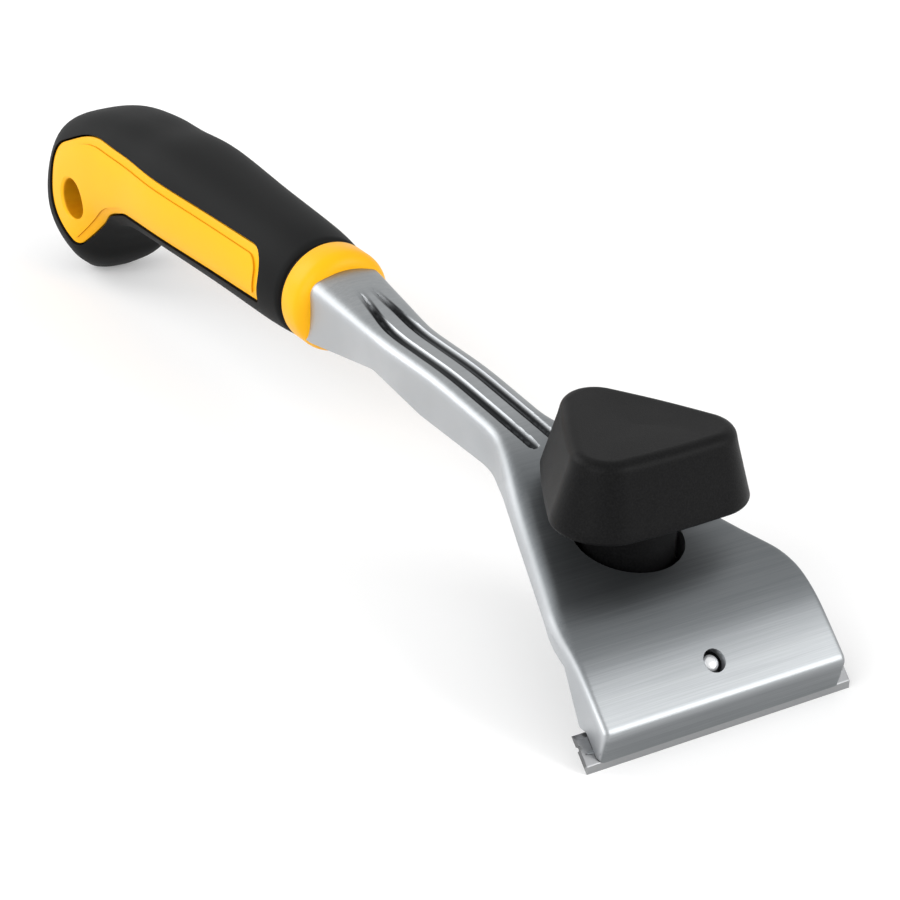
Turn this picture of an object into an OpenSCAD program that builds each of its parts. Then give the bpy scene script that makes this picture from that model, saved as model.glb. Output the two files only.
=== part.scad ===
// Two-handed paint scraper with a clamped blade and a three-lobed knob.
// X runs along the tool with the cutting edge at the +X end, Y across it and Z up.
// The tool lies on a bench: its cutting edge and the hooked end of its handle touch Z = 0.
// Distances along X are counted back from the cutting edge.

/* [Blade] */
// Width of the blade
blade_w = 65; // [50:1:80]
// Depth of the blade, from one cutting edge to the other
blade_depth = 8; // [7:0.5:10]
// Thickness of the blade
blade_t = 1.2; // [0.8:0.1:2]
// Angle of the blade to the bench
blade_angle = 45; // [40:1:50]

/* [Head] */
// Width of the head across its side flanges
head_w = 59.6; // [50:0.2:72]
// Thickness of the sheet steel
sheet_t = 2; // [1.5:0.1:2.5]
// How far the lip's bend stands in front of the cutting edge
lip_reach = 2; // [1:0.5:4]
// Height of the lip's bend
lip_h = 8.4; // [7:0.1:10]
// Distance from the edge to the middle of the head's round shoulder
shoulder_back = 13.4; // [11:0.1:16]
// Height of the shoulder
shoulder_h = 23.4; // [22:0.1:25]
// Radius of the shoulder
shoulder_r = 32; // [16:1:34]
// Distance from the edge to where the head starts to narrow
flare_back = 17.5; // [14:0.5:20]
// Distance from the edge to where the head has narrowed to the neck
flare_end = 73.5; // [66:0.5:80]
// Height of the side flanges at the head
head_flange_h = 5.2; // [4:0.1:7]
// Diameter of the round window in the lip's slope
window_d = 5; // [3:0.5:7]
// Distance from the edge to the window, along X
window_back = 3.8; // [3.5:0.1:6]

/* [Neck] */
// Width of the neck
neck_w = 15; // [14:0.2:20]
// Height of the neck's top above the bench
neck_h = 38.3; // [36:0.1:40]
// Distance from the edge to the neck's foot, where the head's top turns up
foot_back = 47; // [44:1:52]
// Height of the head's top at the neck's foot
foot_h = 29.9; // [28:0.1:31]
// Distance from the edge to the front of the neck
neck_front = 62; // [58:1:68]
// Height of the neck's top at its front
neck_front_h = 35.2; // [33:0.1:36]
// Distance from the edge to the rear of the neck
neck_back = 122; // [112:1:128]
// Height of the side flanges at the neck
neck_flange_h = 10.8; // [8:0.1:12]
// Width of the two pressed grooves
groove_w = 2.8; // [2:0.1:3.4]
// Depth of the grooves
groove_depth = 1.6; // [0.8:0.1:2]
// Distance between the middles of the grooves
groove_pitch = 5.9; // [5:0.1:7]

/* [Knob] */
// Distance from the edge to the knob's axis
knob_back = 34.4; // [30:0.5:35]
// Height of the underside of the knob's body
knob_z = 36.8; // [35:0.1:40]
// Height of the knob's body
knob_h = 16; // [14:0.5:22]
// Reach of the lobes at the underside
knob_reach = 24; // [22:0.5:26]
// Reach of the lobes at the top
knob_top_reach = 20.6; // [18.5:0.1:22]
// Distance from the knob's axis to the middle of each lobe's round
lobe_offset = 13; // [8:0.5:13]
// Direction of the first lobe
lobe_turn = 180; // [0:5:355]
// Diameter of the knob's neck
knob_neck_d = 19.6; // [18:0.2:21]
// Wall thickness of the knob
knob_wall = 3; // [2:0.5:4]

/* [Clamp] */
// Diameter of the clamp bolt's shank
bolt_d = 8; // [6:0.5:10]
// Width of the bolt's head and of the nut, across the flats
hex_w = 13; // [11:0.5:15]
// Height of the clamp nut
nut_h = 6.5; // [5:0.5:7]
// Height of the bolt's head
bolt_head_h = 5.3; // [4:0.1:6.5]
// Height of the lower face of the clamp plate's level part
plate_z = 12.5; // [12:0.1:13]
// Thickness of the clamp plate
plate_t = 2.5; // [2:0.1:3]
// Distance from the edge to the heel of the clamp plate
heel_back = 52; // [49:0.5:56]
// Diameter of the guide pin behind the blade
pin_d = 3.6; // [3:0.1:5]
// Gap between the guide pin's round end and the sheet over it
pin_gap = 0.3; // [0.2:0.1:2]

/* [Seat] */
// Diameter of the opening round the knob's neck
opening_d = 23.4; // [22.5:0.1:28]
// Height of the seat's floor
seat_z = 19.4; // [19:0.1:21]
// Thickness of the thrust washer
washer_t = 1; // [0.5:0.1:1.5]

/* [Handle] */
// Height of the handle's axis at the collar
grip_z = 34.8; // [33:0.1:37]
// Distance from the edge to the front of the collar
collar_front = 146; // [142:1:150]
// Length of the collar
collar_len = 10; // [7:0.5:14]
// Diameter of the collar
collar_d = 24.8; // [24.4:0.1:28]
// Radius of the collar's rounded front edge
collar_round = 3.6; // [1:0.2:4]
// Diameter of the grip behind the collar
grip_d = 25; // [24.4:0.2:30]
// Thickness of the grip's swell
swell_d = 27.4; // [26:0.2:32]
// Width of the hooked end
hook_w = 29.6; // [26:0.2:32]
// Length of the hooked end
hook_len = 35.5; // [32:0.5:40]
// Distance from the edge to the rear of the hooked end
tail_back = 281.5; // [272:0.5:300]
// Thickness of the soft grip over the core
grip_t = 3.2; // [2:0.2:4.5]
// Diameter of the hanging hole
hang_d = 10.6; // [8:0.2:13]
// Length of the tang inside the handle
tang_len = 74; // [50:1:80]
// Width of the tang
tang_w = 12; // [9:0.5:14]
// Height of the tang
tang_h = 7; // [5:0.5:9]

/* [Hidden] */

$fn = 64;
eps = 0.02;             // overshoot of a cut past the face that it opens
far = 400;              // longer than the tool, for cuts that run right through it
jaw_gap = 0.1;          // between the lip and the blade under it
face_gap = 0.05;        // between two flat faces that turn or slide on each other
bolt_clearance = 0.05;  // round the bolt in its nut
hole_clearance = 0.3;   // round the bolt in the sheet and the clamp plate
side_clearance = 2.8;   // between the clamp plate and the flanges
heel_clearance = 0.4;   // between the clamp plate's heel and the sheet over it
knob_fn = 32;           // facets of each lobe of the knob
ring_points = 32;       // points round the handle
ring_steps = 3;         // rings between two of the handle's rows

edge_x = (tail_back - lip_reach) / 2;   // the cutting edge's place, with the origin under the tool's middle
neck_half = neck_w / 2;
head_half = head_w / 2;
bolt_r = bolt_d / 2;
hole_r = bolt_r + hole_clearance;
collar_back = collar_front + collar_len;
socket_r = collar_d / 2 - 1;            // how far out the steel reaches inside the collar
sleeve_back = collar_back - 2;          // where the sheet ends inside the collar
blade_up = [sin(blade_angle), cos(blade_angle)];
blade_back = [-cos(blade_angle), sin(blade_angle)];

// Unit vector along v
function unit(v) = v / norm(v);
// Normal of the step from a to b, turned left
function left_normal(a, b) = unit([-(b - a)[1], (b - a)[0]]);
// An open line moved sideways by d, its corners mitred
function shifted(line, d) = [
    for (i = [0 : len(line) - 1])
        let (last = len(line) - 1,
             n1 = i == 0 ? left_normal(line[0], line[1]) : left_normal(line[i - 1], line[i]),
             n2 = i == last ? n1 : left_normal(line[i], line[i + 1]))
        line[i] + d * (n1 + n2) / (1 + n1 * n2)];
// Points of the arc that rounds the corner at "at"
function corner(before, at, after, r, steps = 6) =
    let (u = unit(before - at), v = unit(after - at), half = acos(u * v) / 2,
         middle = at + unit(u + v) * r / sin(half),
         first = at + u * r / tan(half) - middle, last = at + v * r / tan(half) - middle,
         a1 = atan2(first[1], first[0]), raw = atan2(last[1], last[0]) - a1,
         sweep = raw > 180 ? raw - 360 : raw < -180 ? raw + 360 : raw)
    [for (i = [0 : steps]) middle + r * [cos(a1 + sweep * i / steps), sin(a1 + sweep * i / steps)]];
// An open line with its inner corners rounded, each to its own radius
function rounded(line, radii) = [
    for (i = [0 : len(line) - 1])
        each (i == 0 || i == len(line) - 1 || radii[i] == 0 ? [line[i]]
              : corner(line[i - 1], line[i], line[i + 1], radii[i]))];
// A closed outline with all its corners rounded
function rounded_loop(loop, radii) = [
    for (i = [0 : len(loop) - 1])
        each corner(loop[(i + len(loop) - 1) % len(loop)], loop[i], loop[(i + 1) % len(loop)], radii[i])];

// Where the pieces stand in the tool's own frame
module place() {
    translate([edge_x, 0, 0]) children();
}
// A side view outline, given as [x, z] points, made w wide across the tool
module across(points, w) {
    rotate([90, 0, 0]) linear_extrude(w, center = true) polygon(points);
}
// A round bar along the tool at height z
module along(x1, x2, z, r) {
    translate([x1, 0, z]) rotate([0, 90, 0]) cylinder(h = x2 - x1, r = r);
}

// The sheet's top line, from the lip's lower edge back into the collar
jaw_line = blade_t + jaw_gap;      // the lip ends this far above the blade's under face
lip_foot = [0.2, 0];
function on_jaw(x) = (jaw_line - x * blade_up[0]) / blade_up[1];
sleeve_top = grip_z + socket_r - 2.4;
top_line = [
    [lip_foot[0], on_jaw(lip_foot[0])],
    [lip_reach, lip_h],
    [-shoulder_back, shoulder_h],
    [-foot_back, foot_h],
    [-neck_front, neck_front_h],
    [-(neck_front + 1.4 * neck_back) / 2.4, neck_h],
    [-neck_back, neck_h],
    [-collar_front, sleeve_top],
    [-sleeve_back, sleeve_top]];
top_radii = [0, 2.4, shoulder_r, 80, 40, 150, 60, 40, 0];
turn_signs = [0, -1, -1, 1, -1, -1, 1, -1, 0];
function grown_radii(d) = [for (i = [0 : len(top_radii) - 1]) max(0.4, top_radii[i] + turn_signs[i] * d)];
// The top line moved down into the sheet by d
function top_at(d) = rounded(shifted(top_line, d), grown_radii(d));

// The lower edge of the side flanges, from the collar to the blade
blade_tail = -blade_depth * cos(blade_angle);
flange_line = [
    [-sleeve_back, grip_z - 6.4],
    [-collar_front, grip_z - 6.4],
    [-neck_back, neck_h - 0.75 * neck_flange_h],
    [-(neck_front + 2 * neck_back) / 3, neck_h - neck_flange_h],
    [-neck_front, neck_front_h - 0.8 * neck_flange_h],
    [-foot_back, foot_h - head_flange_h - 0.8],
    [-shoulder_back - 10, shoulder_h - head_flange_h + 2],
    [-shoulder_back + 0.5, shoulder_h - head_flange_h - 1.4],
    [blade_tail - 1.2, on_jaw(blade_tail + 1.4) + 0.2],
    [blade_tail + 1.2, on_jaw(blade_tail + 1.4) + 0.2]];

// The sheet's side line seen from above, as [x, half width] points
side_line = [
    [lip_reach + 3, head_half],
    [-flare_back, head_half],
    [-flare_end, neck_half],
    [-neck_back, neck_half],
    [-collar_front, socket_r - 1.9],
    [-sleeve_back, socket_r - 1.9]];
side_radii = [0, 25, 22, 60, 30, 0];
// Seen from above: the sheet's outline, drawn in by inset
module plan(inset) {
    side = rounded(side_line, side_radii);
    left = [for (p = side) [p[0], p[1] - inset]];
    right = [for (i = [len(side) - 1 : -1 : 0]) [side[i][0], inset - side[i][1]]];
    linear_extrude(neck_h + socket_r) polygon(concat(left, right));
}

// Everything inside the sheet's outer faces, moved in by d: inside the collar it is rounded to fit the mouth
module shank_envelope(d, foot) {
    intersection() {
        across(concat(top_at(d), foot), head_w);
        plan(d);
        union() {
            along(-tail_back, -neck_back - 4, grip_z, socket_r - d);
            translate([-neck_back - 4, -head_w, 0]) cube([neck_back + lip_reach + 8, 2 * head_w, 2 * neck_h]);
        }
    }
}

// Plan of one groove: round at the front, drawn out to a point at the rear, grown by grow
module groove_plan(side, grow) {
    front = -neck_front - 3;
    back = -neck_back - 1;
    point = back - 14;
    r = groove_w / 2 + grow;
    translate([0, side * groove_pitch / 2, 0]) linear_extrude(neck_h + socket_r) {
        translate([front, 0]) circle(r);
        polygon([[front, -r], [front, r], [back, r], [point, 0], [back, -r]]);
    }
}

module shank() {
    rib = 1.2;     // sheet that the grooves press out at their sides and below
    under = [[-far, -far], [far, -far]];
    color("silver") place() {
        difference() {
            union() {
                difference() {
                    shank_envelope(0, flange_line);
                    shank_envelope(sheet_t, under);
                }
                // the grooves' floors, pressed out below
                for (side = [-1, 1]) intersection() {
                    across(concat(top_at(sheet_t - eps), [for (i = [len(top_line) - 1 : -1 : 0])
                                                           shifted(top_line, groove_depth + rib)[i]]), neck_w);
                    groove_plan(side, rib);
                }
                // the wall folded down where the sheet narrows to the tang
                intersection() {
                    shank_envelope(0, flange_line);
                    translate([-sleeve_back, -neck_w, 0]) cube([sheet_t, 2 * neck_w, 2 * neck_h]);
                }
                // the drawn seat for the knob
                intersection() {
                    shank_envelope(0, under);
                    translate([-knob_back, 0, seat_z - sheet_t])
                        cylinder(h = neck_h, r = opening_d / 2 + sheet_t);
                }
            }
            for (side = [-1, 1]) difference() {
                groove_plan(side, 0);
                across(concat(top_at(groove_depth), under), neck_w);
            }
            translate([-knob_back, 0, seat_z]) cylinder(h = neck_h, d = opening_d);
            translate([-knob_back, 0, 0]) cylinder(h = neck_h, r = hole_r);
            window_cut();
        }
        tang();
    }
}

// Stands its children on the slope above the lip, in the window's middle and square to the sheet
slope = (shoulder_h - lip_h) / (shoulder_back + lip_reach);
slope_turn = atan(slope);
window_z = shoulder_h - (shoulder_back - window_back) * slope;
module at_window() {
    translate([-window_back, 0, window_z]) rotate([0, slope_turn, 0]) children();
}
module window_cut() {
    at_window() cylinder(h = 3 * sheet_t, d = window_d, center = true);
}

// The folded tang that the handle is moulded on
tang_end = collar_front + tang_len;
module tang() {
    translate([-tang_end, -tang_w / 2, grip_z - tang_h / 2]) difference() {
        cube([tang_end - sleeve_back + sheet_t / 2, tang_w, tang_h]);
        translate([-1, sheet_t, -1]) cube([tang_end, tang_w - 2 * sheet_t, tang_h - sheet_t + 1]);
    }
}

// Cross-section of the two-edged blade
module blade() {
    bevel = blade_t;
    section = [
        [0, 0],
        blade_depth * blade_back,
        (blade_depth - bevel) * blade_back + blade_t * blade_up,
        bevel * blade_back + blade_t * blade_up];
    color("lightgray") place() across(section, blade_w);
}

// The lower jaw: a sloping front under the blade, a level middle and an upturned heel
level_top = plate_z + plate_t;
module clamp_plate() {
    jaw_front = 2.4;        // from the edge to the jaw's front, along the blade
    jaw_end = 1.7;          // thickness of the jaw's front
    jaw_top = jaw_front * blade_back - face_gap * blade_up;
    knee = level_top / tan(blade_angle);
    section = [
        jaw_top,
        [-knee, level_top],
        [-heel_back + plate_t, level_top],
        [-heel_back + plate_t, foot_h],
        [-heel_back, foot_h],
        [-heel_back, plate_z],
        [-knee - plate_t * tan(blade_angle / 2), plate_z],
        jaw_top - jaw_end * blade_up];
    color("dimgray") place() difference() {
        intersection() {
            across(section, head_w);
            plan(sheet_t + side_clearance);
            across(concat(top_at(sheet_t + heel_clearance), [[-far, 0], [blade_tail, 0]]), head_w);
        }
        translate([-knob_back, 0, 0]) cylinder(h = neck_h, r = hole_r);
        at_window() translate([0, 0, -far]) cylinder(h = far, d = pin_d);
    }
}

module clamp_nut() {
    color("gray") place() translate([-knob_back, 0, plate_z - nut_h]) difference() {
        cylinder(h = nut_h, d = hex_w / cos(30), $fn = 6);
        translate([0, 0, -eps]) cylinder(h = nut_h + 2 * eps, r = bolt_r + bolt_clearance);
    }
}

// Round-ended pin, riveted in the clamp plate and pointing at the window, that keeps the plate straight
jaw_depth = (window_z - window_back) / (sin(slope_turn) + cos(slope_turn));   // from the slope's face to the jaw
module guide_pin() {
    pin_r = pin_d / 2;
    dome_r = 1.6 * pin_r;
    tip_z = -sheet_t - pin_gap;
    foot_z = -jaw_depth - plate_t;      // the riveted foot ends flush with the jaw's lower face
    color("white") place() at_window() {
        translate([0, 0, foot_z]) cylinder(h = tip_z - dome_r - foot_z, r = pin_r);
        intersection() {
            translate([0, 0, tip_z - 1.2 * dome_r]) cylinder(h = 1.2 * dome_r, r = pin_r);
            translate([0, 0, tip_z - dome_r]) sphere(r = dome_r);
        }
    }
}

// Shank and hex head of the bolt that is moulded into the knob
head_z = knob_z - 2;
module clamp_bolt() {
    foot = plate_z - nut_h - 3.9;
    color("gray") place() translate([-knob_back, 0, 0]) {
        translate([0, 0, foot]) cylinder(h = head_z - foot, r = bolt_r);
        translate([0, 0, head_z]) cylinder(h = bolt_head_h, d = hex_w / cos(30), $fn = 6);
    }
}

module thrust_washer() {
    color("darkgray") place() translate([-knob_back, 0, seat_z]) difference() {
        cylinder(h = washer_t, d = knob_neck_d + 1);
        translate([0, 0, -eps]) cylinder(h = washer_t + 2 * eps, r = hole_r);
    }
}

// Three-lobed body, drawn in by inset
module lobes(inset) {
    edge_round = 2.4;
    top_r = knob_top_reach - lobe_offset - inset;
    hull() for (k = [0 : 2])
        rotate([0, 0, lobe_turn + 120 * k]) translate([lobe_offset, 0, 0]) {
            cylinder(h = 1.5, r = knob_reach - lobe_offset - inset, $fn = knob_fn);
            for (turn = [0, 30, 60, 90])
                translate([0, 0, knob_h - inset - 0.1 - edge_round * (1 - sin(turn))])
                    cylinder(h = 0.1, r = top_r - edge_round * (1 - cos(turn)), $fn = knob_fn);
        }
}

module knob() {
    neck_foot = seat_z + washer_t + face_gap;
    color([0.1, 0.1, 0.1]) place() translate([-knob_back, 0, 0]) difference() {
        union() {
            translate([0, 0, knob_z]) difference() {
                lobes(0);
                // the moulding is hollow round its neck
                translate([0, 0, -eps]) lobes(knob_wall);
            }
            translate([0, 0, neck_foot]) cylinder(h = knob_z + knob_h - knob_wall + 1 - neck_foot, d = knob_neck_d);
        }
        translate([0, 0, neck_foot - 1]) cylinder(h = head_z - neck_foot + 1 + eps, r = bolt_r);
        translate([0, 0, head_z]) cylinder(h = bolt_head_h, d = hex_w / cos(30), $fn = 6);
    }
}

// The handle's form: rows of an upper edge, a lower edge, half the width, and how square the section is
grip_r = grip_d / 2;
swell_r = swell_d / 2;
hook_r = hook_w / 2;
tail = -tail_back;
bar_len = tail_back - hook_len - collar_back;
function bar_row(share, lift, r, square) = [[-collar_back - share * bar_len, grip_z + lift + r],
                                            [-collar_back - share * bar_len, grip_z + lift - r], r, square];
handle_rows = [
    bar_row(0, 0, grip_r, 2),
    bar_row(0.12, 0.3, 0.5 * grip_r + 0.5 * swell_r, 2.1),
    bar_row(0.38, 0.8, swell_r - 0.1, 2.2),
    bar_row(0.66, 1.2, swell_r + 0.7, 2.3),
    bar_row(0.84, 0.3, swell_r + 0.4, 2.4),
    [[tail + hook_len, grip_z + 13.2], [tail + hook_len + 8, grip_z - 14.2], hook_r - 0.5, 2.6],
    [[tail + 19.8, 44.9], [tail + 36.6, 18.8], hook_r - 0.1, 2.8],
    [[tail + 7.4, 39], [tail + 32.2, 14.6], hook_r, 3],
    [[tail + 1, 28.2], [tail + 29.6, 10.8], hook_r, 3],
    [[tail + 0.7, 17.8], [tail + 27.8, 7.2], hook_r - 0.4, 3],
    [[tail + 4.6, 8.9], [tail + 24.8, 4.1], hook_r - 3, 2.8],
    [[tail + 10.4, 2.3], [tail + 20.4, 1.3], hook_r / 2, 2.4]];
hook_tip = [tail + 15, 0];

// Smooth value between b and c, with a and d beyond them
function smooth(a, b, c, d, t) =
    (2 * b + (c - a) * t + (2 * a - 5 * b + 4 * c - d) * t * t + (3 * b - 3 * c + d - a) * t * t * t) / 2;
function row(rows, i) = rows[min(max(i, 0), len(rows) - 1)];
function smooth_rows(rows) = [
    for (i = [0 : len(rows) - 2], s = [0 : ring_steps - 1]) let (t = s / ring_steps)
        [for (k = [0 : 3]) smooth(row(rows, i - 1)[k], rows[i][k], rows[i + 1][k], row(rows, i + 2)[k], t)],
    rows[len(rows) - 1]];
function signed_power(v, p) = sign(v) * pow(abs(v), p);
// One ring of points round the handle, drawn in by inset
function ring(r, inset) =
    let (middle = (r[0] + r[1]) / 2, reach = (r[0] - r[1]) / 2, share = 1 - inset / norm(reach), p = 2 / r[3])
    [for (k = [0 : ring_points - 1])
        let (a = 360 * k / ring_points, up = middle + share * signed_power(sin(a), p) * reach)
        [up[0], (r[2] - inset) * signed_power(cos(a), p), up[1]]];
// Outer form of the handle, or with an inset the form of the stiff core inside it
module handle_form(inset) {
    kept = [for (i = [0 : len(handle_rows) - 1]) if (inset == 0 || i < len(handle_rows) - 2) handle_rows[i]];
    rings = [for (r = smooth_rows(kept)) ring(r, inset)];
    last = (len(rings) - 1) * ring_points;
    tip = len(rings) * ring_points;
    tip_at = inset == 0 ? [hook_tip] : [[for (v = kept[len(kept) - 1][0] + kept[len(kept) - 1][1]) v / 2]];
    points = concat([for (r = rings) each r], [[tip_at[0][0], 0, tip_at[0][1]]]);
    faces = concat(
        [[for (k = [ring_points - 1 : -1 : 0]) k]],
        [for (i = [0 : len(rings) - 2], k = [0 : ring_points - 1])
            let (a = i * ring_points + k, b = i * ring_points + (k + 1) % ring_points)
            each [[a, b, b + ring_points], [a, b + ring_points, a + ring_points]]],
        [for (k = [0 : ring_points - 1]) [last + k, last + (k + 1) % ring_points, tip]]);
    polyhedron(points, faces, convexity = 6);
}

// Side panel's outline in side view
hang_at = [tail + 22.6, 23.4];
panel_front = -collar_back - 9.8;
panel_loop = [
    [panel_front + 1.2, grip_z + 8],
    [panel_front - 0.2, grip_z - 4.2],
    [(panel_front + tail + hook_len) / 2, grip_z - 5.8],
    [tail + 48, grip_z - 6.6],
    [tail + 37.5, 24.3],
    [tail + 22.7, 10.2],
    [tail + 9.8, 17],
    [tail + 10.1, 33.8],
    [tail + 29.6, grip_z + 8.2]];
panel_radii = [5.5, 1, 150, 8, 25, 3.5, 11, 10, 30];

// The collar, rounded at its front and reaching back into the grip by tuck
module collar(tuck) {
    rim = collar_d / 2 - collar_round;
    long = collar_len + tuck;
    translate([-collar_back - tuck, 0, grip_z]) rotate([0, 90, 0]) rotate_extrude() polygon(concat(
        [[0, 0], [collar_d / 2, 0]],
        [for (turn = [0 : 10 : 90]) [rim + collar_round * cos(turn), long - collar_round + collar_round * sin(turn)]],
        [[0, long]]));
}

// Stiff core: collar, inner bar and the two side panels
module handle_core() {
    color("gold") place() difference() {
        union() {
            collar(1);
            handle_form(grip_t);
            intersection() {
                handle_form(0);
                across(rounded_loop(panel_loop, panel_radii), 2 * hook_w);
            }
        }
        tang();
        // mouth that the steel sheet enters
        for (play = [0, face_gap]) translate([-play, 0, 0])
            shank_envelope(-face_gap, [for (p = flange_line) p - [0, face_gap]]);
        translate([hang_at[0], 0, hang_at[1]]) rotate([90, 0, 0]) cylinder(h = far, d = hang_d, center = true);
    }
}

// Soft grip moulded over the core, open at the panels
module handle_grip() {
    color([0.15, 0.15, 0.15]) place() difference() {
        handle_form(0);
        handle_form(grip_t);
        collar(1);
        across(rounded_loop(panel_loop, panel_radii), 2 * hook_w);
    }
}

shank();
blade();
clamp_plate();
clamp_nut();
guide_pin();
clamp_bolt();
thrust_washer();
knob();
handle_core();
handle_grip();
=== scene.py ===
import math

import bmesh
import bpy
from mathutils import Matrix, Vector


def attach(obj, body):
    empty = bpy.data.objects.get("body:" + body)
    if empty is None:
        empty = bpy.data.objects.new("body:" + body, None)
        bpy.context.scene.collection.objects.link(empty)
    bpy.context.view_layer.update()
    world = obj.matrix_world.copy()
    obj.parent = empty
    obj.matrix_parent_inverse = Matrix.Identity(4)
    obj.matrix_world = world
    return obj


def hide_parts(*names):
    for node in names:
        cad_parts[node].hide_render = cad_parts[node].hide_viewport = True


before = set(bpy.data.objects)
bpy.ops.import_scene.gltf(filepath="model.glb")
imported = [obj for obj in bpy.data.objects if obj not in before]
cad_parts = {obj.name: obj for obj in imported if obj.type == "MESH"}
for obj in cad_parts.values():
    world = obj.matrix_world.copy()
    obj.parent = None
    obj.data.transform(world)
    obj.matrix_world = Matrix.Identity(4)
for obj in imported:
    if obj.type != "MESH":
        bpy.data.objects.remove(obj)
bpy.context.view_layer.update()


# The room: a white sheet that the scraper lies on and the soft lamps round it.
# The camera stands in front of the cutting edge, to the left, and looks down along the tool.
def mm(*values):
    return Vector(values) / 1000


EDGE_X = 139.75
CAMERA_AT = (392.168 + EDGE_X, -323.684, 315.749)
CAMERA_AZIMUTH = 56.7197
CAMERA_HEIGHT = 26.8207
CAMERA_ROLL = 1.8080

camera_data = bpy.data.cameras.new("camera")
camera_data.sensor_width = 36
camera_data.lens = 120
camera_data.clip_start = 0.01
camera_data.clip_end = 30
camera = bpy.data.objects.new("camera", camera_data)
bpy.context.scene.collection.objects.link(camera)
turn_up = Matrix.Rotation(math.radians(90 - CAMERA_HEIGHT), 4, "X")
turn_round = Matrix.Rotation(math.radians(CAMERA_AZIMUTH), 4, "Z")
roll = Matrix.Rotation(math.radians(CAMERA_ROLL), 4, "Z")
camera.matrix_world = Matrix.Translation(mm(*CAMERA_AT)) @ turn_round @ turn_up @ roll
bpy.context.scene.camera = camera


class Wire:
    """An output of a finish; arithmetic on it adds the Math nodes that it takes."""

    def __init__(self, finish, socket):
        self.finish = finish
        self.socket = socket

    def math(self, operation, first, second):
        return self.finish.node("ShaderNodeMath", {"operation": operation}, {0: first, 1: second})

    def __add__(self, other):
        return self.math("ADD", self, other)

    __radd__ = __add__

    def __sub__(self, other):
        return self.math("SUBTRACT", self, other)

    def __rsub__(self, other):
        return self.math("SUBTRACT", other, self)

    def __mul__(self, other):
        return self.math("MULTIPLY", self, other)

    __rmul__ = __mul__

    def __truediv__(self, other):
        return self.math("DIVIDE", self, other)

    def __pow__(self, other):
        return self.math("POWER", self, other)

    def above(self, start, end):
        """0 below start, 1 above end and a soft step between them."""
        settings = {"interpolation_type": "SMOOTHSTEP"}
        return self.finish.node("ShaderNodeMapRange", settings, {0: self, 1: start, 2: end})


class Finish:
    """A material and the few calls that build its nodes."""

    def __init__(self, name, **fixed):
        self.material = bpy.data.materials.new(name)
        self.material.use_nodes = True
        self.nodes = self.material.node_tree.nodes
        self.links = self.material.node_tree.links
        self.shader = self.nodes["Principled BSDF"]
        for socket, value in fixed.items():
            self.shader.inputs[socket.replace("_", " ")].default_value = value

    def node(self, kind, settings, values, output=0):
        made = self.nodes.new(kind)
        for key, value in settings.items():
            if key == "stops":
                for stop, (place, tone) in zip(made.color_ramp.elements, value):
                    stop.position = place
                    stop.color = (tone, tone, tone, 1)
            else:
                setattr(made, key, value)
        for key, value in values.items():
            self.set(made.inputs[key], value)
        return Wire(self, made.outputs[output])

    def set(self, socket, value):
        if isinstance(value, Wire):
            self.links.new(value.socket, socket)
        else:
            socket.default_value = value

    def place(self, scale=(1, 1, 1), turn=(0, 0, 0)):
        where = self.node("ShaderNodeTexCoord", {}, {}, "Object")
        return self.node("ShaderNodeMapping", {}, {"Vector": where, "Scale": scale, "Rotation": turn})

    def noise(self, scale, stretch=(1, 1, 1), detail=2.0, roughness=0.5):
        values = {"Vector": self.place(stretch), "Scale": scale, "Detail": detail, "Roughness": roughness}
        return self.node("ShaderNodeTexNoise", {"noise_dimensions": "3D"}, values, "Fac")

    def axis(self, name):
        where = self.node("ShaderNodeTexCoord", {}, {}, "Object")
        return self.node("ShaderNodeSeparateXYZ", {}, {"Vector": where}, name)

    def normal(self):
        return self.node("ShaderNodeTexCoord", {}, {}, "Normal")

    def math_abs(self, value):
        return self.node("ShaderNodeMath", {"operation": "ABSOLUTE"}, {0: value})

    def mix(self, share, low, high):
        return self.node("ShaderNodeMix", {"data_type": "RGBA"}, {0: share, 6: low, 7: high}, 2)

    def bump(self, height, depth, strength=1.0):
        values = {"Height": height, "Distance": depth, "Strength": strength}
        return self.node("ShaderNodeBump", {}, values, "Normal")

    def feed(self, **wires):
        for socket, value in wires.items():
            self.set(self.shader.inputs[socket.replace("_", " ")], value)
        return self.material


paper = Finish("white_sheet", Roughness=0.9)
paper.shader.inputs["Base Color"].default_value = (0.82, 0.82, 0.82, 1)
paper.shader.inputs["Specular IOR Level"].default_value = 0.0
sight = paper.node("ShaderNodeLightPath", {}, {}, "Is Camera Ray")
gloss = paper.node("ShaderNodeLightPath", {}, {}, "Is Glossy Ray")
clear = paper.node("ShaderNodeLightPath", {}, {}, "Is Transmission Ray")
paper.shader.inputs["Emission Strength"].default_value = 1.0
seen = sight + gloss + clear
paper.feed(Emission_Color=paper.mix(seen, (0, 0, 0, 1), (0.2, 0.2, 0.2, 1)))

sheet_mesh = bpy.data.meshes.new("white_sheet")
bm = bmesh.new()
bmesh.ops.create_grid(bm, x_segments=1, y_segments=1, size=12)
bmesh.ops.translate(bm, vec=mm(0, 0, -0.05), verts=bm.verts)
bm.to_mesh(sheet_mesh)
bm.free()
white_sheet = bpy.data.objects.new("white_sheet", sheet_mesh)
white_sheet.data.materials.append(paper.material)
bpy.context.scene.collection.objects.link(white_sheet)

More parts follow.
